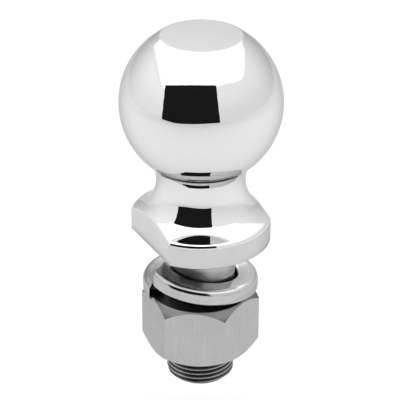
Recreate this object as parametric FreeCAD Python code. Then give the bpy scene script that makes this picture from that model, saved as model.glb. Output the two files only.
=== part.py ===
import FreeCAD, Part
import math
import os

# Trailer hitch ball: a one-piece forged ball stud, a helical spring lock washer and a hex nut.
# Frame: the origin is on the shank's axis at the flange's seat face, +Z points up towards the ball,
# and -Y is the front. Azimuths are measured from the front, positive towards +X. Millimetres.

INCH = 25.4

# Ball
BALL_DIAMETER = 2.3125 * INCH
BALL_CENTRE_Z = 53.6
TOP_FLAT_Z = 79.0
TOP_EDGE_ROUND = 1.2

# Neck: one concave arc up to the ball, and three tangent concave arcs down to the flange's rim. Each
# lower arc ends at its steepness: 0 is upright, 90 is level. The last one runs on to the rim.
WAIST_RADIUS = 16.3
WAIST_Z = 23.5
NECK_UPPER_ARC = 13.3
NECK_SIDE_ARC = 17.0
NECK_SIDE_END = 33.0
NECK_FILLET = 9.0
NECK_FILLET_END = 54.0
FLANGE_TOP_ARC = 28.0

# Flange with two opposite wrench flats
FLANGE_RADIUS = 25.8
RIM_EDGE_ROUND = 1.7
SEAT_EDGE_CHAMFER = 0.4
FLANGE_ACROSS_FLATS = 1.625 * INCH
FLAT_AZIMUTH = -62.2

# Shank
SHANK_RADIUS = INCH / 2
SHANK_LENGTH = 58.1
SHANK_END_CHAMFER = 1.9
THREAD_TOP_Z = -15.6

# Thread: 14 turns to the inch, right-handed, 60 degree form. The pitch radius is where the tooth and
# the groove are equally wide, before each groove is widened by its slack.
PITCH = INCH / 14
FLANK_ANGLE = 30.0
PITCH_RADIUS = SHANK_RADIUS - 0.3248 * PITCH
THREAD_CREST_RADIUS = 12.52
THREAD_ROOT_RADIUS = 11.55
THREAD_CREST_AT_FRONT_Z = -51.1
SHANK_GROOVE_SLACK = 0.06
NUT_GROOVE_SLACK = 0.20
GROOVE_FLARE = 0.1
GROOVE_OVERCUT = 0.4

# The bars that threads are cut in are this much too long, and are then trimmed, so that each groove
# ends inside its bar.
SPARE_LENGTH = 4 * PITCH

# Hex nut
NUT_ACROSS_FLATS = 1.5 * INCH
NUT_TOP_Z = -22.25
NUT_HEIGHT = 23.5
NUT_CORNER_AZIMUTH = 24.1
NUT_TOP_FACE_RADIUS = 18.6
NUT_TOP_CHAMFER_ANGLE = 45.0
NUT_BOTTOM_FACE_RADIUS = 18.2
NUT_BOTTOM_CHAMFER_ANGLE = 38.0
NUT_MINOR_RADIUS = 11.78
NUT_MAJOR_RADIUS = 12.85
COUNTERSINK_RADIUS = 13.2

# Lock washer: one left-handed turn of rounded bar that lies on the nut and then climbs to its upper end.
# The split is measured at the outer edge. Its two end cuts are parallel walls, turned by the skew from
# the radial direction, and the bar is swept past its upper end by the spare angle before it is cut.
WASHER_BORE_RADIUS = 13.55
WASHER_OUTER_RADIUS = 21.4
WASHER_THICKNESS = 6.2
WASHER_EDGE_ROUND = 1.3
WASHER_SEAT_GAP = 0.05
WASHER_LOWER_END_AZIMUTH = -61.5
WASHER_SPLIT_ANGLE = 8.0
WASHER_CUT_SKEW = 25.0
WASHER_SPARE_ANGLE = 20.0
WASHER_CLIMB_START = 185.0
WASHER_CLIMB_SOFTENING = 45.0
WASHER_CLIMB_PER_DEGREE = 0.048


def on_circle(radius, azimuth, z):
    a = math.radians(azimuth)
    return FreeCAD.Vector(radius * math.sin(a), -radius * math.cos(a), z)


def section_point(radius, z):
    return FreeCAD.Vector(radius, 0, z)


def arc_about(centre, radius, start_angle, end_angle):
    """An arc in the XZ section plane, through three points, with angles from +X towards +Z."""
    points = []
    for share in (0.0, 0.5, 1.0):
        a = math.radians(start_angle + share * (end_angle - start_angle))
        points.append(section_point(centre[0] + radius * math.cos(a), centre[1] + radius * math.sin(a)))
    return Part.Arc(*points).toShape()


def line(start, end):
    return Part.LineSegment(section_point(*start), section_point(*end)).toShape()


def revolve(edges):
    face = Part.Face(Part.Wire(edges))
    return face.revolve(FreeCAD.Vector(0, 0, 0), FreeCAD.Vector(0, 0, 1), 360)


def neck_and_ball_junction():
    """The point where the neck's upper arc meets the ball: (radius, z)."""
    ball = BALL_DIAMETER / 2
    across, down = WAIST_RADIUS + NECK_UPPER_ARC, BALL_CENTRE_Z - WAIST_Z
    apart = math.hypot(across, down)
    inward = (ball**2 - NECK_UPPER_ARC**2 + apart**2) / (2 * apart)
    aside = math.sqrt(max(ball**2 - inward**2, 0.0))
    ux, uz = across / apart, -down / apart
    return inward * ux + aside * uz, BALL_CENTRE_Z + inward * uz - aside * ux


def along(start, steepness, distance):
    """A point that lies outwards and up from start, square to a neck surface of this steepness."""
    a = math.radians(steepness)
    return start[0] + distance * math.cos(a), start[1] + distance * math.sin(a)


def lower_neck():
    """Centres of the three arcs from the waist down to the flange."""
    side = along((WAIST_RADIUS, WAIST_Z), 0, NECK_SIDE_ARC)
    fillet = along(side, NECK_SIDE_END, NECK_FILLET - NECK_SIDE_ARC)
    flange_top = along(fillet, NECK_FILLET_END, FLANGE_TOP_ARC - NECK_FILLET)
    return side, fillet, flange_top


def stud_profile():
    """The closed half section of the stud, up to the ball's flat top. The shank is left too long."""
    ball = BALL_DIAMETER / 2
    end_z = -SHANK_LENGTH - SPARE_LENGTH
    crest_z = THREAD_TOP_Z - (SHANK_RADIUS - THREAD_CREST_RADIUS)
    shank = [
        line((0, end_z), (THREAD_CREST_RADIUS, end_z)),
        line((THREAD_CREST_RADIUS, end_z), (THREAD_CREST_RADIUS, crest_z)),
        line((THREAD_CREST_RADIUS, crest_z), (SHANK_RADIUS, THREAD_TOP_Z)),
        line((SHANK_RADIUS, THREAD_TOP_Z), (SHANK_RADIUS, 0)),
    ]

    # flange underside, rim and the rounded edge where the rim meets the flange's top
    inner_rim = FLANGE_RADIUS - SEAT_EDGE_CHAMFER
    side, fillet, flange_top = lower_neck()
    round_x = FLANGE_RADIUS - RIM_EDGE_ROUND
    reach = FLANGE_TOP_ARC + RIM_EDGE_ROUND
    round_z = flange_top[1] - math.sqrt(reach**2 - (flange_top[0] - round_x) ** 2)
    rim_steepness = math.degrees(math.atan2(flange_top[1] - round_z, flange_top[0] - round_x))
    flange = [
        line((SHANK_RADIUS, 0), (inner_rim, 0)),
        line((inner_rim, 0), (FLANGE_RADIUS, SEAT_EDGE_CHAMFER)),
        line((FLANGE_RADIUS, SEAT_EDGE_CHAMFER), (FLANGE_RADIUS, round_z)),
        arc_about((round_x, round_z), RIM_EDGE_ROUND, 0, rim_steepness),
    ]

    # neck
    joint_r, joint_z = neck_and_ball_junction()
    upper_centre = (WAIST_RADIUS + NECK_UPPER_ARC, WAIST_Z)
    top_angle = math.degrees(math.atan2(joint_z - WAIST_Z, joint_r - upper_centre[0]))
    neck = [
        arc_about(flange_top, FLANGE_TOP_ARC, 180 + rim_steepness, 180 + NECK_FILLET_END),
        arc_about(fillet, NECK_FILLET, 180 + NECK_FILLET_END, 180 + NECK_SIDE_END),
        arc_about(side, NECK_SIDE_ARC, 180 + NECK_SIDE_END, 180),
        arc_about(upper_centre, NECK_UPPER_ARC, 180, top_angle),
    ]

    # ball, rounded edge and flat top
    edge_z = TOP_FLAT_Z - TOP_EDGE_ROUND
    edge_r = math.sqrt((ball - TOP_EDGE_ROUND) ** 2 - (edge_z - BALL_CENTRE_Z) ** 2)
    edge_angle = math.degrees(math.atan2(edge_z - BALL_CENTRE_Z, edge_r))
    low_angle = math.degrees(math.atan2(joint_z - BALL_CENTRE_Z, joint_r))
    head = [
        arc_about((0, BALL_CENTRE_Z), ball, low_angle, edge_angle),
        arc_about((edge_r, edge_z), TOP_EDGE_ROUND, edge_angle, 90),
        line((edge_r, TOP_FLAT_Z), (0, TOP_FLAT_Z)),
        line((0, TOP_FLAT_Z), (0, end_z)),
    ]
    return shank + flange + neck + head


def wrench_flat_cutter(azimuth):
    """A block whose inner face is one wrench flat of the flange."""
    size = 4 * FLANGE_RADIUS
    height = WAIST_Z
    block = Part.makeBox(size, size, height + 1, FreeCAD.Vector(-size / 2, 0, -1))
    block.translate(FreeCAD.Vector(0, FLANGE_ACROSS_FLATS / 2, 0))
    block.rotate(FreeCAD.Vector(0, 0, 0), FreeCAD.Vector(0, 0, 1), 180 + azimuth)
    return block


def thread_groove(floor_radius, mouth_radius, slack, middle_at_front_z, low_z, high_z):
    """A helical solid that cuts one thread's groove, open towards mouth_radius and on past it.

    Its flanks run on a little past the mouth, so that they cross the surface that they cut.
    """
    slope = math.tan(math.radians(FLANK_ANGLE))
    outward = 1 if mouth_radius > floor_radius else -1
    half_floor = (PITCH / 2 + slack) / 2 + outward * (floor_radius - PITCH_RADIUS) * slope
    flank_end = mouth_radius + outward * GROOVE_FLARE
    half_mouth = (PITCH / 2 + slack) / 2 + outward * (flank_end - PITCH_RADIUS) * slope
    past_mouth = mouth_radius + outward * GROOVE_OVERCUT
    half_section = [(floor_radius, half_floor), (flank_end, half_mouth), (past_mouth, half_mouth)]
    outline = half_section + [(r, -half) for r, half in reversed(half_section)]
    section = Part.makePolygon([section_point(*p) for p in outline + outline[:1]])

    # the helix starts at +X, three quarters of a turn before the front
    start = middle_at_front_z - 0.75 * PITCH
    start += PITCH * math.floor((low_z - start) / PITCH)
    helix = Part.makeHelix(PITCH, high_z - start, PITCH_RADIUS)
    groove = Part.Wire(helix).makePipeShell([section], True, True)
    groove.translate(FreeCAD.Vector(0, 0, start))
    return groove


def closed_section(points):
    return [line(a, b) for a, b in zip(points, points[1:] + points[:1])]


def make_ball_stud():
    stud = revolve(stud_profile())
    for azimuth in (FLAT_AZIMUTH, FLAT_AZIMUTH + 180):
        stud = stud.cut(wrench_flat_cutter(azimuth))
    end_z = -SHANK_LENGTH
    groove = thread_groove(
        floor_radius=THREAD_ROOT_RADIUS,
        mouth_radius=THREAD_CREST_RADIUS,
        slack=SHANK_GROOVE_SLACK,
        middle_at_front_z=THREAD_CREST_AT_FRONT_Z + PITCH / 2,
        low_z=end_z - SPARE_LENGTH / 2,
        high_z=THREAD_TOP_Z - 0.75 * PITCH,
    )
    stud = stud.cut(groove)

    # trim the shank to its length, with a 45 degree chamfer
    end_radius = SHANK_RADIUS - SHANK_END_CHAMFER
    wide = 2 * FLANGE_RADIUS
    above = TOP_FLAT_Z + 1
    kept = [(0, end_z), (end_radius, end_z), (wide, end_z + wide - end_radius), (wide, above), (0, above)]
    return stud.common(revolve(closed_section(kept)))


def make_hex_nut():
    corner = NUT_ACROSS_FLATS / 2 / math.cos(math.radians(30))
    bottom_z = NUT_TOP_Z - NUT_HEIGHT

    # a hexagonal bar, longer than the nut, with the whole thread inside it
    bar_z, bar_length = bottom_z - SPARE_LENGTH, NUT_HEIGHT + 2 * SPARE_LENGTH
    corners = [on_circle(corner, NUT_CORNER_AZIMUTH + 60 * n, bar_z) for n in range(7)]
    bar = Part.Face(Part.makePolygon(corners)).extrude(FreeCAD.Vector(0, 0, bar_length))
    bar = bar.cut(Part.makeCylinder(NUT_MINOR_RADIUS, bar_length + 2, FreeCAD.Vector(0, 0, bar_z - 1)))
    groove = thread_groove(
        floor_radius=NUT_MAJOR_RADIUS,
        mouth_radius=NUT_MINOR_RADIUS,
        slack=NUT_GROOVE_SLACK,
        middle_at_front_z=THREAD_CREST_AT_FRONT_Z,
        low_z=bottom_z - SPARE_LENGTH / 2,
        high_z=NUT_TOP_Z + SPARE_LENGTH / 2,
    )
    bar = bar.cut(groove)

    # the turned ring that the bar is trimmed to: outer chamfers and countersinks
    wide = corner + 1
    inner = NUT_MINOR_RADIUS - 1
    sink = COUNTERSINK_RADIUS - inner
    top_drop = (wide - NUT_TOP_FACE_RADIUS) * math.tan(math.radians(NUT_TOP_CHAMFER_ANGLE))
    bottom_rise = (wide - NUT_BOTTOM_FACE_RADIUS) * math.tan(math.radians(NUT_BOTTOM_CHAMFER_ANGLE))
    ring = [
        (inner, bottom_z + sink),
        (COUNTERSINK_RADIUS, bottom_z),
        (NUT_BOTTOM_FACE_RADIUS, bottom_z),
        (wide, bottom_z + bottom_rise),
        (wide, NUT_TOP_Z - top_drop),
        (NUT_TOP_FACE_RADIUS, NUT_TOP_Z),
        (COUNTERSINK_RADIUS, NUT_TOP_Z),
        (inner, NUT_TOP_Z - sink),
    ]
    return bar.common(revolve(closed_section(ring)))


def washer_lift(turned):
    """How far the washer's lower face is above its seat, at this many degrees from its lower end."""
    past = turned - WASHER_CLIMB_START
    if past <= 0:
        return 0.0
    if past < WASHER_CLIMB_SOFTENING:
        return WASHER_CLIMB_PER_DEGREE * past**2 / (2 * WASHER_CLIMB_SOFTENING)
    return WASHER_CLIMB_PER_DEGREE * (past - WASHER_CLIMB_SOFTENING / 2)


def rounded_bar_section():
    """The washer's rounded rectangular section, lower face at z = 0."""
    low_r, high_r, top, r = WASHER_BORE_RADIUS, WASHER_OUTER_RADIUS, WASHER_THICKNESS, WASHER_EDGE_ROUND
    return [
        line((low_r + r, 0), (high_r - r, 0)),
        arc_about((high_r - r, r), r, -90, 0),
        line((high_r, r), (high_r, top - r)),
        arc_about((high_r - r, top - r), r, 0, 90),
        line((high_r - r, top), (low_r + r, top)),
        arc_about((low_r + r, top - r), r, 90, 180),
        line((low_r, top - r), (low_r, r)),
        arc_about((low_r + r, r), r, 180, 270),
    ]


def end_cutter(azimuth, side, low_z, high_z):
    """A block with one face on the end cut that starts at this azimuth of the washer's outer edge."""
    width = WASHER_OUTER_RADIUS - WASHER_BORE_RADIUS
    first = 0 if side > 0 else -width
    block = Part.makeBox(WASHER_OUTER_RADIUS, width, high_z - low_z, FreeCAD.Vector(-1, first, low_z))
    block.rotate(FreeCAD.Vector(0, 0, 0), FreeCAD.Vector(0, 0, 1), 90 + azimuth + WASHER_CUT_SKEW)
    block.translate(on_circle(WASHER_OUTER_RADIUS, azimuth, 0))
    return block


def make_lock_washer():
    seat_z = NUT_TOP_Z + WASHER_SEAT_GAP
    middle = (WASHER_BORE_RADIUS + WASHER_OUTER_RADIUS) / 2
    whole = 360 - WASHER_SPLIT_ANGLE
    swept = whole + WASHER_SPARE_ANGLE
    steps = 50
    points = []
    for n in range(steps + 1):
        turned = swept * n / steps
        points.append(on_circle(middle, WASHER_LOWER_END_AZIMUTH - turned, seat_z + washer_lift(turned)))
    path = Part.BSplineCurve()
    path.interpolate(points)
    spine = Part.Wire(path.toShape())
    section = Part.Wire(rounded_bar_section())
    section.translate(FreeCAD.Vector(0, 0, seat_z))
    section.rotate(FreeCAD.Vector(0, 0, 0), FreeCAD.Vector(0, 0, 1), WASHER_LOWER_END_AZIMUTH - 90)
    pipe = Part.BRepOffsetAPI.MakePipeShell(spine)
    pipe.setBiNormalMode(FreeCAD.Vector(0, 0, 1))
    pipe.add(section)
    pipe.build()
    pipe.makeSolid()

    # the lower end is cut below this level and the upper end above it
    between = seat_z + WASHER_THICKNESS + 0.1
    top_z = between + 2 * WASHER_THICKNESS
    lower = end_cutter(WASHER_LOWER_END_AZIMUTH, -1, seat_z - 1, between)
    upper = end_cutter(WASHER_LOWER_END_AZIMUTH - whole, 1, between, top_z)
    return pipe.shape().cut(lower).cut(upper)


NODES = {
    "ball_stud": make_ball_stud,
    "lock_washer": make_lock_washer,
    "hex_nut": make_hex_nut,
}

os.makedirs("parts", exist_ok=True)
for name, make in NODES.items():
    shape = make()
    solid = shape.Solids[0]
    print(name, "valid", solid.isValid(), "solids", len(shape.Solids), "volume", round(solid.Volume, 1))
    solid.exportStep(f"parts/{name}.step")
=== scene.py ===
import bmesh
import bpy
import math
from mathutils import Matrix, Vector


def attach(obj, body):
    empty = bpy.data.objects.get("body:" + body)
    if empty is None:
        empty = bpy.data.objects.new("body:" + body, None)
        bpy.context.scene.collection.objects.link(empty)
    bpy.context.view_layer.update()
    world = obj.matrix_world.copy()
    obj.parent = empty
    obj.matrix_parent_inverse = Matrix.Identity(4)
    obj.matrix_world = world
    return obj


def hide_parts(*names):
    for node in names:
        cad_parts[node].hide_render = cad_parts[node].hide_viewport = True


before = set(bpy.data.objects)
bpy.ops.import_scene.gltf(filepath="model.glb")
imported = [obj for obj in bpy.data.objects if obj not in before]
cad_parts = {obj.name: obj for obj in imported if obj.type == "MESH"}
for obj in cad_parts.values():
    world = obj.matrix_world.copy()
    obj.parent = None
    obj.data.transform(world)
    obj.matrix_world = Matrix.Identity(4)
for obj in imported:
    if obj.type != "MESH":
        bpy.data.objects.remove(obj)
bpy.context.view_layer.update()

# All lengths are in metres. The object's sizes are the CAD model's, apart from a few edges that are
# rounder. Azimuth 0 is the front, -Y, and azimuths grow towards +X.
MM = 0.001
INCH = 0.0254
TURN = 2 * math.pi
UP = Vector((0, 0, 1))

# ball, neck and flange
BALL_RADIUS = 2.3125 * INCH / 2
BALL_Z = 53.6 * MM
TOP_Z = 79.0 * MM
TOP_ROUND = 1.2 * MM
WAIST_RADIUS = 16.3 * MM
WAIST_Z = 23.5 * MM
UPPER_ARC = 13.3 * MM
# the neck below its waist: arcs of these radii, each from a steepness to a steepness in degrees, where
# 0 is upright
LOWER_ARCS = ((17.0 * MM, 0.0, 33.0), (9.0 * MM, 33.0, 54.0), (28.0 * MM, 54.0, 90.0))
FLANGE_RADIUS = 25.8 * MM
RIM_ROUND = 1.7 * MM
# faces lower than this, whose normals' Z is less than the tilt, are the rim and the flats
RIM_TOP_Z = 16.0 * MM
RIM_TILT = 0.05
SEAT_CHAMFER = 0.4 * MM
FLAT_DISTANCE = 1.625 * INCH / 2
FLAT_AZIMUTHS = (math.radians(-62.2), math.radians(117.8))
FLAT_EDGE_ROUND = 0.9 * MM
# the upper edge's round changes from the rim's to the flat's where a flat has cut this much away
FLAT_ROUND_CHANGE = 0.5 * MM
# near the flat's corners, where rim and flat are within the reach, up to the cut is taken off
FLAT_CORNER_REACH = 0.3 * MM
FLAT_CORNER_CUT = 0.075 * MM

# shank and thread
SHANK_RADIUS = INCH / 2
SHANK_END_Z = -58.1 * MM
END_CHAMFER = 1.9 * MM
THREAD_TOP_Z = -15.6 * MM
PITCH = INCH / 14
CREST_AT_FRONT_Z = -51.1 * MM
CREST_RADIUS = 12.52 * MM
ROOT_RADIUS = 11.55 * MM
# where a 60 degree thread is as wide as its groove
PITCH_RADIUS = SHANK_RADIUS - 0.3248 * PITCH
FLANK_SLOPE = math.tan(math.radians(30))
GROOVE_SLACK = 0.06 * MM
THREAD_EASE = 0.05 * MM
THREAD_FADE = 0.7 * PITCH

# lock washer: flat on the nut at first, and then climbing
WASHER_BORE = 13.55 * MM
WASHER_OUTER = 21.4 * MM
WASHER_THICKNESS = 6.2 * MM
WASHER_SEAT_Z = -22.2 * MM
WASHER_OUTER_TOP_ROUND = 2.3 * MM
WASHER_OUTER_FOOT_ROUND = 1.5 * MM
WASHER_INNER_ROUND = 1.3 * MM
WASHER_LOWER_END = math.radians(-61.5)
WASHER_SPLIT = math.radians(8.0)
WASHER_SWEEP = TURN - WASHER_SPLIT
WASHER_SKEW = math.radians(25.0)
SKEW_FADE = math.radians(60.0)
# the bar narrows to this scale over the last bit of each end, given in radians
END_BEVEL = 0.004
END_SCALE = 0.97
# the climb's start and its eased stretch, in degrees round the bar
CLIMB_START = 185.0
CLIMB_SOFTENING = 45.0
CLIMB_PER_DEGREE = 0.048 * MM

# how finely the meshes are divided
HEAD_COLUMNS = 256
CORNER_COLUMNS = 8
CORNER_STEP = math.radians(0.2)
CLOSEST_COLUMNS = math.radians(0.05)
TOP_ROWS = 8
BALL_ROWS = 100
UPPER_ARC_ROWS = 20
LOWER_ARCS_ROWS = 72
RIM_ROWS = 3
SEAT_ROWS = 4
ROUND_ROWS = 8
SHANK_COLUMNS = 160
PLAIN_ROWS = 6
WASHER_STEPS = 180
WASHER_TOP_ROWS = 6
MERGE_DISTANCE = 0.002 * MM


# ---------------------------------------------------------------- points and meshes

def clamp(value, low=0.0, high=1.0):
    return min(max(value, low), high)


def place(radius, azimuth, z):
    return (radius * math.sin(azimuth), -radius * math.cos(azimuth), z)


def arc(centre, radius, start, end, count, first=0):
    """Points (radius, z) on an arc; first=1 leaves out its start, where the outline has it already."""
    points = []
    for n in range(first, count + 1):
        a = start + (end - start) * n / count
        points.append((centre[0] + radius * math.cos(a), centre[1] + radius * math.sin(a)))
    return points


def line(start, end, count):
    """Points that divide a straight run into equal steps, without its two ends."""
    return [
        (start[0] + (end[0] - start[0]) * n / count, start[1] + (end[1] - start[1]) * n / count)
        for n in range(1, count)
    ]


def mesh_object(name, verts, faces, smooth=True):
    mesh = bpy.data.meshes.new(name)
    mesh.from_pydata(verts, [], faces)
    mesh.validate()
    mesh.update()
    for poly in mesh.polygons:
        poly.use_smooth = smooth
    piece = bpy.data.objects.new(name, mesh)
    bpy.context.scene.collection.objects.link(piece)
    return piece


def join_points(piece):
    """Joins the points that coincide, and turns every face outward."""
    work = bmesh.new()
    work.from_mesh(piece.data)
    bmesh.ops.remove_doubles(work, verts=work.verts, dist=MERGE_DISTANCE)
    bmesh.ops.dissolve_degenerate(work, edges=work.edges, dist=MERGE_DISTANCE)
    bmesh.ops.recalc_face_normals(work, faces=work.faces)
    work.to_mesh(piece.data)
    work.free()


# ---------------------------------------------------------------- ball, neck and flange

def flange_limit(azimuth):
    """The flange's outer radius at an azimuth: its rim or a wrench flat, with an eased corner."""
    limit = FLANGE_RADIUS
    for flat in FLAT_AZIMUTHS:
        facing = math.cos(azimuth - flat)
        if facing > 0:
            flat_radius = FLAT_DISTANCE / facing
            ease = clamp(1 - abs(limit - flat_radius) / FLAT_CORNER_REACH)
            limit = min(limit, flat_radius) - ease * ease * FLAT_CORNER_CUT
    return limit


def neck_and_ball_junction():
    """Where the ball's surface meets the arc above the waist, as (radius, z)."""
    across, down = WAIST_RADIUS + UPPER_ARC, BALL_Z - WAIST_Z
    apart = math.hypot(across, down)
    along = (BALL_RADIUS**2 - UPPER_ARC**2 + apart**2) / (2 * apart)
    aside = math.sqrt(BALL_RADIUS**2 - along**2)
    ux, uz = across / apart, -down / apart
    return along * ux + aside * uz, BALL_Z + along * uz - aside * ux


def lower_arcs():
    """The neck's lower arcs as (centre, radius, first steepness, last steepness), from the waist down."""
    radius, z = WAIST_RADIUS, WAIST_Z
    arcs = []
    for arc_radius, first, last in LOWER_ARCS:
        first, last = math.radians(first), math.radians(last)
        centre = (radius + arc_radius * math.cos(first), z + arc_radius * math.sin(first))
        arcs.append((centre, arc_radius, first, last))
        radius = centre[0] - arc_radius * math.cos(last)
        z = centre[1] - arc_radius * math.sin(last)
    return arcs


def neck_point(steepness):
    """The point of the lower arcs where they have this steepness."""
    centre, arc_radius = next((centre, size) for centre, size, _, last in lower_arcs() if steepness <= last)
    return centre[0] - arc_radius * math.cos(steepness), centre[1] - arc_radius * math.sin(steepness)


def rim_rounding(limit, rounding):
    """Centre of the round between the neck and an upright rim, and the steepness where they meet."""
    for centre, arc_radius, first, _ in reversed(lower_arcs()):
        across = centre[0] - (limit - rounding)
        if across < arc_radius + rounding:
            down = math.sqrt((arc_radius + rounding) ** 2 - across**2)
            meet = math.atan2(down, across)
            if meet >= first:
                return (limit - rounding, centre[1] - down), meet
    raise ValueError("the rim is inside the neck")


def head_section(azimuth):
    """Half section (radius, z) from the flat top down to the seat's inner edge, at one azimuth."""
    edge_z = TOP_Z - TOP_ROUND
    edge_r = math.sqrt((BALL_RADIUS - TOP_ROUND) ** 2 - (edge_z - BALL_Z) ** 2)
    edge_angle = math.atan2(edge_z - BALL_Z, edge_r)
    junction_r, junction_z = neck_and_ball_junction()
    junction_angle = math.atan2(junction_z - BALL_Z, junction_r)
    points = line((0, TOP_Z), (edge_r, TOP_Z), TOP_ROWS)
    points += arc((edge_r, edge_z), TOP_ROUND, math.pi / 2, edge_angle, ROUND_ROWS)
    points += arc((0, BALL_Z), BALL_RADIUS, edge_angle, junction_angle, BALL_ROWS, 1)

    upper_centre = (WAIST_RADIUS + UPPER_ARC, WAIST_Z)
    upper_angle = math.atan2(junction_z - WAIST_Z, junction_r - upper_centre[0])
    points += arc(upper_centre, UPPER_ARC, upper_angle, math.pi, UPPER_ARC_ROWS, 1)

    limit = flange_limit(azimuth)
    on_flat = clamp((FLANGE_RADIUS - limit) / FLAT_ROUND_CHANGE)
    rounding = RIM_ROUND + (FLAT_EDGE_ROUND - RIM_ROUND) * on_flat
    round_centre, meet = rim_rounding(limit, rounding)
    points += [neck_point(meet * n / LOWER_ARCS_ROWS) for n in range(1, LOWER_ARCS_ROWS + 1)]
    points += arc(round_centre, rounding, meet, 0, ROUND_ROWS, 1)

    seat_edge = limit - SEAT_CHAMFER
    points += line((limit, round_centre[1]), (limit, SEAT_CHAMFER), RIM_ROWS)
    points += [(limit, SEAT_CHAMFER), (limit - SEAT_CHAMFER / 2, SEAT_CHAMFER / 2), (seat_edge, 0)]
    points += line((seat_edge, 0), (SHANK_RADIUS, 0), SEAT_ROWS)
    points.append((SHANK_RADIUS, 0))
    return points


def head_azimuths():
    """Azimuths of the head's columns: evenly spaced, and closer round the flats' corners."""
    azimuths = [TURN * n / HEAD_COLUMNS for n in range(HEAD_COLUMNS)]
    half_width = math.acos(FLAT_DISTANCE / FLANGE_RADIUS)
    for flat in FLAT_AZIMUTHS:
        for corner in (flat - half_width, flat + half_width):
            for n in range(-CORNER_COLUMNS, CORNER_COLUMNS + 1):
                azimuths.append((corner + CORNER_STEP * n) % TURN)
    azimuths.sort()
    kept = [azimuths[0]]
    for a in azimuths[1:]:
        if a - kept[-1] > CLOSEST_COLUMNS:
            kept.append(a)
    return kept


def make_head():
    """The ball, neck and flange: a column of points at each azimuth, and a fan at the top and the foot."""
    azimuths = head_azimuths()
    verts = []
    for a in azimuths:
        verts += [place(r, a, z) for r, z in head_section(a)]
    columns = len(azimuths)
    rows = len(verts) // columns
    top, foot = len(verts), len(verts) + 1
    verts += [(0, 0, TOP_Z), (0, 0, 0)]
    faces = []
    for c in range(columns):
        here, there = c * rows, (c + 1) % columns * rows
        for n in range(rows - 1):
            faces.append((here + n, here + n + 1, there + n + 1, there + n))
        faces.append((top, here, there))
        faces.append((foot, there + rows - 1, here + rows - 1))
    piece = mesh_object("ball_head", verts, faces)
    join_points(piece)
    return piece


# ---------------------------------------------------------------- shank

def thread_rows():
    """One pitch of the thread: (offset from the crest's middle, radius), with each corner eased."""
    half_groove = (PITCH / 2 + GROOVE_SLACK) / 2
    crest = PITCH / 2 - half_groove - (CREST_RADIUS - PITCH_RADIUS) * FLANK_SLOPE
    root = PITCH / 2 - half_groove - (ROOT_RADIUS - PITCH_RADIUS) * FLANK_SLOPE
    ease = THREAD_EASE
    return [
        (-crest + ease, CREST_RADIUS),
        (crest - ease, CREST_RADIUS),
        (crest + ease / 2, CREST_RADIUS - ease),
        (root - ease / 2, ROOT_RADIUS + ease),
        (root + ease, ROOT_RADIUS),
        (PITCH - root - ease, ROOT_RADIUS),
        (PITCH - root + ease / 2, ROOT_RADIUS + ease),
        (PITCH - crest - ease / 2, CREST_RADIUS - ease),
    ]


def shank_point(azimuth, z, radius):
    """Holds a thread point to the plain shank above, to the end chamfer and to the end face."""
    depth = clamp((THREAD_TOP_Z - z) / THREAD_FADE)
    radius = SHANK_RADIUS - (SHANK_RADIUS - radius) * depth
    z = clamp(z, SHANK_END_Z, THREAD_TOP_Z)
    radius = min(radius, SHANK_RADIUS - END_CHAMFER + z - SHANK_END_Z)
    return place(radius, azimuth, z)


def make_shank():
    """The threaded part, whose rows climb one pitch a turn, the plain part above it and both end faces."""
    profile = thread_rows()
    turns = math.ceil((THREAD_TOP_Z - SHANK_END_Z) / PITCH) + 2
    first_z = CREST_AT_FRONT_Z - PITCH * math.ceil((CREST_AT_FRONT_Z - SHANK_END_Z) / PITCH + 1)
    offsets = [(PITCH * t + z, r) for t in range(turns) for z, r in profile]
    azimuths = [TURN * c / SHANK_COLUMNS for c in range(SHANK_COLUMNS)]
    verts, faces = [], []
    for c, a in enumerate(azimuths):
        for z, r in offsets:
            verts.append(shank_point(a, first_z + z + PITCH * c / SHANK_COLUMNS, r))
    rows = len(offsets)
    for c in range(SHANK_COLUMNS):
        # the last column meets the first one a pitch higher; its rows above that lie on the top ring
        step = len(profile) if c == SHANK_COLUMNS - 1 else 0
        for n in range(rows - 1 - step):
            here, there = c * rows + n, (c + 1) % SHANK_COLUMNS * rows + n + step
            faces.append((here, there, there + 1, here + 1))

    start, rows = len(verts), PLAIN_ROWS + 1
    for a in azimuths:
        verts += [place(SHANK_RADIUS, a, THREAD_TOP_Z * (1 - n / PLAIN_ROWS)) for n in range(rows)]
    verts.append((0, 0, 0))
    for c in range(SHANK_COLUMNS):
        here, there = start + c * rows, start + (c + 1) % SHANK_COLUMNS * rows
        for n in range(PLAIN_ROWS):
            faces.append((here + n, there + n, there + n + 1, here + n + 1))
        faces.append((here + PLAIN_ROWS, there + PLAIN_ROWS, len(verts) - 1))

    start = len(verts)
    verts += [place(SHANK_RADIUS - END_CHAMFER, a, SHANK_END_Z) for a in azimuths]
    verts.append((0, 0, SHANK_END_Z))
    for c in range(SHANK_COLUMNS):
        faces.append((len(verts) - 1, start + (c + 1) % SHANK_COLUMNS, start + c))
    piece = mesh_object("threaded_shank", verts, faces)
    join_points(piece)
    return piece


# ---------------------------------------------------------------- lock washer

def washer_lift(turned):
    """How far the bar has risen at an angle from its lower end: none, then easing into an even climb."""
    past = math.degrees(turned) - CLIMB_START
    if past <= 0:
        return 0.0
    if past < CLIMB_SOFTENING:
        return CLIMB_PER_DEGREE * past**2 / (2 * CLIMB_SOFTENING)
    return CLIMB_PER_DEGREE * (past - CLIMB_SOFTENING / 2)


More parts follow.
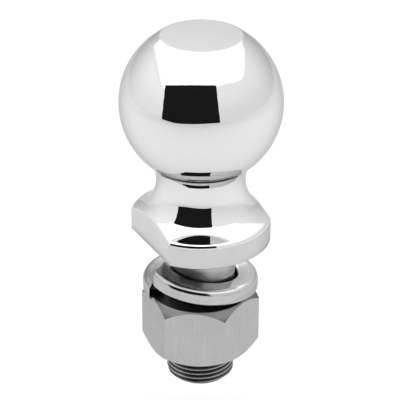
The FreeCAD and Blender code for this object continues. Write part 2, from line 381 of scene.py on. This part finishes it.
def washer_section():
    """The bar's outline (radius, height), anticlockwise from its foot, roundest at its outer top."""
    top = WASHER_THICKNESS
    corners = (
        (WASHER_OUTER, 0.0, WASHER_OUTER_FOOT_ROUND, -90.0, -1, 1),
        (WASHER_OUTER, top, WASHER_OUTER_TOP_ROUND, 0.0, -1, -1),
        (WASHER_BORE, top, WASHER_INNER_ROUND, 90.0, 1, -1),
        (WASHER_BORE, 0.0, WASHER_INNER_ROUND, 180.0, 1, 1),
    )
    rounds = []
    for r, z, size, first, inward, upward in corners:
        centre = (r + inward * size, z + upward * size)
        rounds.append(arc(centre, size, math.radians(first), math.radians(first + 90), ROUND_ROWS))
    outer_foot, outer_top, inner_top, inner_foot = rounds
    flat_top = line(outer_top[-1], inner_top[0], WASHER_TOP_ROWS)
    return outer_foot + outer_top + flat_top + inner_top + inner_foot


def washer_point(turned, radius, height):
    """A point of the bar. Near its ends the inner side lies further on, as the end cuts are askew."""
    skewed = max(1 - turned / SKEW_FADE, 1 - (WASHER_SWEEP - turned) / SKEW_FADE, 0)
    lead = math.asin(WASHER_OUTER * math.sin(WASHER_SKEW) / radius) - WASHER_SKEW
    turned += lead * skewed
    return place(radius, WASHER_LOWER_END - turned, WASHER_SEAT_Z + washer_lift(turned) + height)


def make_washer():
    """One left-handed turn of the bar, with bevelled ends whose faces are flat."""
    section = washer_section()
    rows = len(section)
    middle_r, middle_z = (WASHER_BORE + WASHER_OUTER) / 2, WASHER_THICKNESS / 2
    inner_sweep = WASHER_SWEEP - 2 * END_BEVEL
    stations = [(0.0, END_SCALE)]
    stations += [(END_BEVEL + inner_sweep * n / WASHER_STEPS, 1.0) for n in range(WASHER_STEPS + 1)]
    stations.append((WASHER_SWEEP, END_SCALE))
    verts, faces = [], []
    for turned, scale in stations:
        for r, z in section:
            r = middle_r + (r - middle_r) * scale
            z = middle_z + (z - middle_z) * scale
            verts.append(washer_point(turned, r, z))
    for s in range(len(stations) - 1):
        for n in range(rows):
            a, b = s * rows + n, s * rows + (n + 1) % rows
            faces.append((a, b, b + rows, a + rows))
    for s in (0, len(stations) - 1):
        verts.append(washer_point(stations[s][0], middle_r, middle_z))
        for n in range(rows):
            faces.append((len(verts) - 1, s * rows + n, s * rows + (n + 1) % rows))
    piece = mesh_object("spring_washer", verts, faces)
    for poly in piece.data.polygons[-2 * rows:]:
        poly.use_smooth = False
    join_points(piece)
    return piece


head = make_head()
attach(head, "ball_stud")
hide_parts("ball_stud")
shank = make_shank()
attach(shank, "ball_stud")
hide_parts("ball_stud")
washer = make_washer()
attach(washer, "lock_washer")
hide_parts("lock_washer")
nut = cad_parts["hex_nut"]


# ---------------------------------------------------------------- node trees

class Nodes:
    """Short calls for building a node tree."""

    def __init__(self, tree):
        self.tree = tree

    def add(self, kind, inputs=None, **settings):
        node = self.tree.nodes.new("ShaderNode" + kind)
        for key, value in settings.items():
            setattr(node, key, value)
        for key, value in (inputs or {}).items():
            self.put(node.inputs[key], value)
        return node

    def put(self, socket, value):
        if isinstance(value, bpy.types.NodeSocket):
            self.tree.links.new(value, socket)
        else:
            socket.default_value = value

    def math(self, operation, *values):
        node = self.add("Math", operation=operation)
        for socket, value in zip(node.inputs, values):
            self.put(socket, value)
        return node.outputs[0]

    def spread(self, value, low, high, to_low, to_high, smooth=False):
        """Maps low..high onto to_low..to_high, and holds the ends."""
        kind = "SMOOTHSTEP" if smooth else "LINEAR"
        node = self.add("MapRange", interpolation_type=kind)
        for socket, item in zip(node.inputs, (value, low, high, to_low, to_high)):
            self.put(socket, item)
        return node.outputs[0]

    def split(self, vector):
        return self.add("SeparateXYZ", {"Vector": vector}).outputs

    def length(self, x, y):
        """How far (x, y) is from (0, 0)."""
        return self.math("SQRT", self.math("ADD", self.math("POWER", x, 2.0), self.math("POWER", y, 2.0)))


class Surface(Nodes):
    """A new material's node tree, and calls for what a surface needs."""

    def __init__(self, name):
        self.material = bpy.data.materials.new(name)
        self.material.use_nodes = True
        super().__init__(self.material.node_tree)
        self.shader = self.tree.nodes["Principled BSDF"]

    def blend(self, share, first, second):
        node = self.add("Mix")
        for socket, value in zip((node.inputs[0], node.inputs[2], node.inputs[3]), (share, first, second)):
            self.put(socket, value)
        return node.outputs[0]

    def mixed(self, first, second, share):
        """The first value's share added to the rest of the second."""
        rest = self.math("MULTIPLY", second, 1 - share)
        return self.math("ADD", self.math("MULTIPLY", first, share), rest)

    def noise(self, vector, scale, detail=2.0):
        node = self.add("TexNoise", {"Vector": vector, "Scale": scale, "Detail": detail})
        return node.outputs["Fac"]

    def vary(self, noise, low, high):
        """Maps a noise, which mostly stays from 0.3 to 0.7, onto low..high."""
        return self.spread(noise, 0.3, 0.7, low, high)

    def position(self):
        return self.add("TexCoord").outputs["Object"]

    def facing_up(self):
        """The surface normal's Z: 1 on a level top, and -1 on a level underside."""
        return self.split(self.add("TexCoord").outputs["Normal"])[2]

    def radius(self, vector):
        x, y, _ = self.split(vector)
        return self.length(x, y)

    def stretched(self, vector, x, y, z):
        return self.add("Mapping", {"Vector": vector, "Scale": (x, y, z)}).outputs[0]

    def round_the_axis(self, vector, per_radian, outward, upward):
        """Coordinates that run round the Z axis, so that grain follows a turned surface."""
        x, y, z = self.split(vector)
        joined = self.add("CombineXYZ")
        self.put(joined.inputs[0], self.math("MULTIPLY", self.math("ARCTAN2", x, y), per_radian))
        self.put(joined.inputs[1], self.math("MULTIPLY", self.length(x, y), outward))
        self.put(joined.inputs[2], self.math("MULTIPLY", z, upward))
        return joined.outputs[0]

    def grey(self, value):
        joined = self.add("CombineColor")
        for socket in joined.inputs[:3]:
            self.put(socket, value)
        return joined.outputs[0]

    def metal(self, shade, roughness, height, depth, edge_tint):
        """Finishes a metal: its grey, its roughness, its bump and how much light its edges keep."""
        self.shader.inputs["Specular Tint"].default_value = (edge_tint,) * 3 + (1.0,)
        self.shader.inputs["Metallic"].default_value = 1.0
        self.put(self.shader.inputs["Base Color"], self.grey(shade))
        self.put(self.shader.inputs["Roughness"], roughness)
        bump = self.add("Bump", {"Height": height, "Distance": depth, "Strength": 1.0})
        self.put(self.shader.inputs["Normal"], bump.outputs[0])
        return self.material


# ---------------------------------------------------------------- materials

CHROME_GREY = 0.72
TOP_LIGHTER = 0.07
RIM_GREY = 0.57
FLAT_LIGHTER = 0.11
PLATE_EDGE_TINT = 0.6
NUT_EDGE_TINT = 0.65
STEEL_EDGE_TINT = 0.75
# painted light: how much lighter the washer's upward faces are made
WASHER_TOP_PAINTED_LIGHT = 0.13
# the washer's painted shade on its upward faces round the cut ends: its middle's azimuth, its radii, and how
# much of the light it takes
TOP_SHADE_AZIMUTH = math.radians(-50.0)
TOP_SHADE_FROM = 17.0 * MM
TOP_SHADE_TO = 30.0 * MM
TOP_SHADE_SHARE = 0.65
# the painted shade on the nut's chamfers deepens between these radii, towards the corners
CHAMFER_INNER = 19.3 * MM
CHAMFER_CORNER = 21.6 * MM


def chrome_material():
    """Polished plate; the flat top is turned and less shiny."""
    m = Surface("polished_chrome")
    where = m.position()
    on_top = m.spread(m.split(where)[2], TOP_Z - 0.05 * MM, TOP_Z - 0.01 * MM, 0.0, 1.0)
    cloud = m.noise(where, 60.0, 3.0)
    rings = m.noise(m.round_the_axis(where, 2.0, 9000.0, 0.0), 1.0)
    shade = m.vary(cloud, CHROME_GREY - 0.006, CHROME_GREY + 0.006)
    shade = m.math("ADD", shade, m.math("MULTIPLY", on_top, TOP_LIGHTER))
    polish = m.spread(cloud, 0.35, 0.7, 0.012, 0.03)
    turned = m.vary(rings, 0.14, 0.20)
    roughness = m.math("ADD", polish, m.math("MULTIPLY", on_top, turned))
    height = m.math("MULTIPLY", rings, on_top)
    return m.metal(shade, roughness, height, 0.0015 * MM, PLATE_EDGE_TINT)


def rim_material():
    """The flange's rim and wrench flats: plated, but left with a fine ground finish."""
    m = Surface("ground_rim")
    where = m.position()
    lines = m.noise(m.round_the_axis(where, 6.0, 200.0, 5200.0), 1.0, 3.0)
    cloud = m.noise(where, 140.0, 3.0)
    shade = m.vary(cloud, RIM_GREY - 0.012, RIM_GREY + 0.012)
    inside_rim = FLANGE_RADIUS - 0.6 * MM
    lighter = m.spread(m.radius(where), inside_rim, inside_rim + 0.3 * MM, FLAT_LIGHTER, 0.0)
    shade = m.math("ADD", shade, lighter)
    return m.metal(shade, m.vary(lines, 0.10, 0.20), lines, 0.002 * MM, PLATE_EDGE_TINT)


def shank_material():
    """Thin plate over turned steel: satin and darker, with painted shade over the thread that is deepest in
    its grooves.
    """
    m = Surface("plated_shank")
    where = m.position()
    lines = m.noise(m.round_the_axis(where, 3.0, 300.0, 6000.0), 1.0, 3.0)
    patch = m.noise(where, 180.0)
    threaded = m.spread(m.split(where)[2], THREAD_TOP_Z - 0.5 * MM, THREAD_TOP_Z, 1.0, 0.0)
    # painted shade: the thread is darkened, its grooves most and its crests least
    painted_groove_shade = m.spread(m.radius(where), CREST_RADIUS - 0.3 * MM, CREST_RADIUS, 0.10, 0.72)
    shade = m.math("MULTIPLY", m.vary(patch, 0.44, 0.54), m.blend(threaded, 1.0, painted_groove_shade))
    return m.metal(shade, m.vary(lines, 0.24, 0.38), lines, 0.004 * MM, STEEL_EDGE_TINT)


def washer_material():
    """Bright plate over the bar's drawn lines, with painted light on its upward faces and painted shade on
    them round the cut ends.
    """
    m = Surface("plated_washer")
    where = m.position()
    grain = m.noise(m.round_the_axis(where, 3.0, 2600.0, 2600.0), 1.0, 3.0)
    bands = m.noise(m.round_the_axis(where, 1.2, 700.0, 700.0), 1.0)
    patch = m.noise(where, 150.0, 3.0)
    shade = m.vary(m.mixed(bands, patch, 0.6), 0.42, 0.56)
    on_top = m.spread(m.facing_up(), 0.3, 0.95, 0.0, 1.0)
    # painted light on the upward faces
    shade = m.math("ADD", shade, m.math("MULTIPLY", on_top, WASHER_TOP_PAINTED_LIGHT))
    # painted shade: the upward faces round the cut ends are darkened, most near this middle
    top_shade_middle = place((WASHER_BORE + WASHER_OUTER) / 2, TOP_SHADE_AZIMUTH, WASHER_SEAT_Z)
    away = m.add("VectorMath", {0: where, 1: top_shade_middle}, operation="DISTANCE").outputs["Value"]
    away = m.math("ADD", away, m.math("MULTIPLY", patch, 8 * MM))
    painted_top_shade = m.math("MULTIPLY", on_top, m.spread(away, TOP_SHADE_FROM, TOP_SHADE_TO, TOP_SHADE_SHARE, 0.0))
    shade = m.math("MULTIPLY", shade, m.math("SUBTRACT", 1.0, painted_top_shade))
    return m.metal(shade, m.vary(grain, 0.08, 0.18), grain, 0.003 * MM, PLATE_EDGE_TINT)


def nut_material():
    """Brushed sides, with coarser turned chamfers and top whose darkness is painted shade, deepest on the
    faces that look most upward.
    """
    m = Surface("brushed_nut")
    where = m.position()
    brushed = m.noise(m.stretched(where, 2600.0, 2600.0, 60.0), 1.0, 3.0)
    fine = m.noise(m.stretched(where, 5200.0, 5200.0, 500.0), 1.0)
    patch = m.noise(where, 90.0, 3.0)
    side_shade = m.vary(m.mixed(brushed, patch, 0.6), 0.415, 0.495)
    facing = m.facing_up()
    on_top = m.spread(facing, 0.2, 0.5, 0.0, 1.0)
    on_either = m.spread(m.math("ABSOLUTE", facing), 0.2, 0.5, 0.0, 1.0)
    coarse = m.vary(m.noise(m.round_the_axis(where, 2.0, 1500.0, 1500.0), 1.0, 3.0), 0.85, 1.15)
    # painted shade on the upward faces, the chamfers and the top, darker the more they face up
    painted_upward_shade = m.math("MULTIPLY", m.spread(facing, 0.75, 0.95, 0.23, 0.10), coarse)
    corner = m.spread(m.radius(where), CHAMFER_INNER, CHAMFER_CORNER, 1.0, 0.5)
    shade = m.blend(on_top, side_shade, m.math("MULTIPLY", painted_upward_shade, corner))
    roughness = m.blend(on_either, m.vary(fine, 0.26, 0.40), 0.42)
    return m.metal(shade, roughness, m.math("ADD", brushed, fine), 0.004 * MM, NUT_EDGE_TINT)


for piece, materials in (
    (head, [chrome_material(), rim_material()]),
    (shank, [shank_material()]),
    (washer, [washer_material()]),
    (nut, [nut_material()]),
):
    piece.data.materials.clear()
    for material in materials:
        piece.data.materials.append(material)

# clearing a mesh's materials also resets its faces' material numbers, so the rim is marked after that
for poly in head.data.polygons:
    if poly.center.z < RIM_TOP_Z and abs(poly.normal.z) < RIM_TILT:
        poly.material_index = 1


# ---------------------------------------------------------------- studio

# The object is held above the floor, far enough for the nut to come off the shank's end.
FLOOR_Z = -83.5 * MM
FLOOR_HALF = 2.2
FLOOR_GREY = 0.5
FLOOR_GLOW = 0.42
FLOOR_GLOW_LOSS = 0.07
# the glow's fall-off: how far out it starts and ends, and how much sooner it comes behind than in front
FLOOR_GLOW_INNER = 0.49
FLOOR_GLOW_OUTER = 0.73
FLOOR_BEHIND = 1.3
FLOOR_IN_FRONT = 0.3
# the overhead light: its height, its outline and the shares of it that are fully lit and lit at all
SOFTBOX_Z = BALL_Z + 1.2
SOFTBOX_OUTLINE = (
    (-1.78, 2.5), (-1.53, 1.21), (-1.48, 0.47), (-1.57, -0.04), (-1.83, -0.6), (-2.0, -1.1),
    (0.55, -1.2), (0.97, -0.91), (1.23, -0.77), (1.5, -0.58), (1.66, -0.36), (1.66, -0.13),
    (1.54, 0.15), (1.36, 0.66), (1.32, 1.3), (1.25, 1.75), (1.15, 2.1),
)
SOFTBOX_INNER_SHARE = 0.80
SOFTBOX_OUTER_SHARE = 1.07
SOFTBOX_STRENGTH = 1.9
SOFTBOX_EDGE_STRENGTH = 1.0
# the dark curtain round the camera: its direction, its distance and its outline on that plane
CURTAIN_AZIMUTH = math.radians(-18.0)
CURTAIN_ELEVATION = math.radians(10.0)
CURTAIN_DISTANCE = 1.05
CURTAIN_GREY = 0.012
CURTAIN_OUTLINE = (
    (-0.92, 0.69), (-0.51, 0.70), (-0.18, 0.74), (0.12, 0.80), (0.45, 0.89), (0.89, 1.06), (0.88, 0.53),
    (0.92, 0.11), (1.02, -0.31), (0.61, -0.28), (0.32, -0.28), (0.09, -0.29), (-0.18, -0.31),
    (-0.47, -0.34), (-0.78, -0.37), (-0.74, -0.03), (-0.78, 0.30),
)


def dull_surface(name, grey, roughness):
    """A plain surface with no gloss, for the floor or a cloth."""
    m = Surface(name)
    fleck = m.noise(m.position(), 40.0, 3.0)
    m.put(m.shader.inputs["Base Color"], m.grey(m.vary(fleck, grey * 0.995, grey)))
    m.shader.inputs["Roughness"].default_value = roughness
    m.shader.inputs["Specular IOR Level"].default_value = 0.0
    return m


def make_floor():
    """The pale floor, with an even glow round the object and out to the front, and less beyond."""
    corners = [(-1, -1), (1, -1), (1, 1), (-1, 1)]
    verts = [(x * FLOOR_HALF, y * FLOOR_HALF, FLOOR_Z) for x, y in corners]
    floor = mesh_object("floor", verts, [(0, 1, 2, 3)], False)
    m = dull_surface("pale_floor", FLOOR_GREY, 0.8)
    x, y, _ = m.split(m.position())
    away = m.math("MAXIMUM", m.math("MULTIPLY", y, FLOOR_BEHIND), m.math("MULTIPLY", y, -FLOOR_IN_FRONT))
    low_glow = FLOOR_GLOW - FLOOR_GLOW_LOSS
    glow = m.spread(m.length(x, away), FLOOR_GLOW_INNER, FLOOR_GLOW_OUTER, FLOOR_GLOW, low_glow, smooth=True)
    m.shader.inputs["Emission Color"].default_value = (1.0, 1.0, 1.0, 1.0)
    m.put(m.shader.inputs["Emission Strength"], glow)
    floor.data.materials.append(m.material)


def make_softbox():
    """The overhead light, whose strength falls off in a band that runs along its outline."""
    corners = [Vector((x, y, SOFTBOX_Z)) for x, y in SOFTBOX_OUTLINE]
    count = len(corners)
    middle = sum(corners, Vector()) / count
    inner = [middle + (corner - middle) * SOFTBOX_INNER_SHARE for corner in corners]
    outer = [middle + (corner - middle) * SOFTBOX_OUTER_SHARE for corner in corners]
    faces = [tuple(range(count))]
    for n in range(count):
        following = (n + 1) % count
        faces.append((n, following, count + following, count + n))
    card = mesh_object("softbox", inner + outer, faces, False)
    levels = card.data.attributes.new("level", "FLOAT", "POINT")
    levels.data.foreach_set("value", [SOFTBOX_STRENGTH] * count + [SOFTBOX_EDGE_STRENGTH] * count)

    m = Surface("softbox_light")
    m.tree.nodes.remove(m.shader)
    level = m.add("Attribute", attribute_name="level").outputs["Fac"]
    glow = m.add("Emission", {"Strength": level}).outputs[0]
    m.put(m.tree.nodes["Material Output"].inputs["Surface"], glow)
    card.data.materials.append(m.material)
    card.visible_camera = False


def make_curtain():
    """A black curtain that stands behind and round the camera, which looks through it."""
    facing = Vector(place(math.cos(CURTAIN_ELEVATION), CURTAIN_AZIMUTH, math.sin(CURTAIN_ELEVATION)))
    right = UP.cross(facing).normalized()
    up = (UP - facing * facing.z).normalized()
    middle = UP * BALL_Z + facing * CURTAIN_DISTANCE
    corners = [middle + right * across + up * upward for across, upward in CURTAIN_OUTLINE]
    card = mesh_object("curtain", corners, [tuple(range(len(corners)))], False)
    card.data.materials.append(dull_surface("black_cloth", CURTAIN_GREY, 0.9).material)
    card.visible_camera = False


def make_walls():
    """The white walls all round: brighter above and on the left, and darker low down at the back."""
    world = bpy.data.worlds.new("studio")
    bpy.context.scene.world = world
    world.use_nodes = True
    w = Nodes(world.node_tree)
    x, y, z = w.split(w.add("TexCoord").outputs["Generated"])
    upward = w.spread(z, 0.0, 0.6, 0.93, 1.08, smooth=True)
    leftward = w.spread(x, -1.0, 0.0, 1.12, 1.0, smooth=True)
    backward = w.spread(y, 0.1, 0.9, 1.0, 0.86, smooth=True)
    light = w.math("MULTIPLY", w.math("MULTIPLY", upward, leftward), backward)
    background = w.tree.nodes["Background"]
    background.inputs["Color"].default_value = (1, 1, 1, 1)
    w.put(background.inputs["Strength"], light)


make_floor()
make_softbox()
make_curtain()
make_walls()

# ---------------------------------------------------------------- camera

CAMERA_PLACE = Vector((-0.275, -608.04, 338.04)) * MM
CAMERA_TARGET = Vector((-0.275, 0, 14.344)) * MM
CAMERA_ROLL = math.radians(0.218)
SENSOR_WIDTH_IN_MM = 36.0
LENS_IN_MM = 170.77


def make_camera():
    data = bpy.data.cameras.new("camera")
    data.sensor_width = SENSOR_WIDTH_IN_MM
    data.lens = LENS_IN_MM
    camera = bpy.data.objects.new("camera", data)
    bpy.context.scene.collection.objects.link(camera)
    forward = (CAMERA_TARGET - CAMERA_PLACE).normalized()
    right = forward.cross(UP).normalized()
    up = right.cross(forward)
    side = right * math.cos(CAMERA_ROLL) + up * math.sin(CAMERA_ROLL)
    top = up * math.cos(CAMERA_ROLL) - right * math.sin(CAMERA_ROLL)
    camera.matrix_world = Matrix((side, top, -forward)).transposed().to_4x4()
    camera.location = CAMERA_PLACE
    return camera


bpy.context.scene.camera = make_camera()
bpy.context.scene.view_settings.view_transform = "Standard"
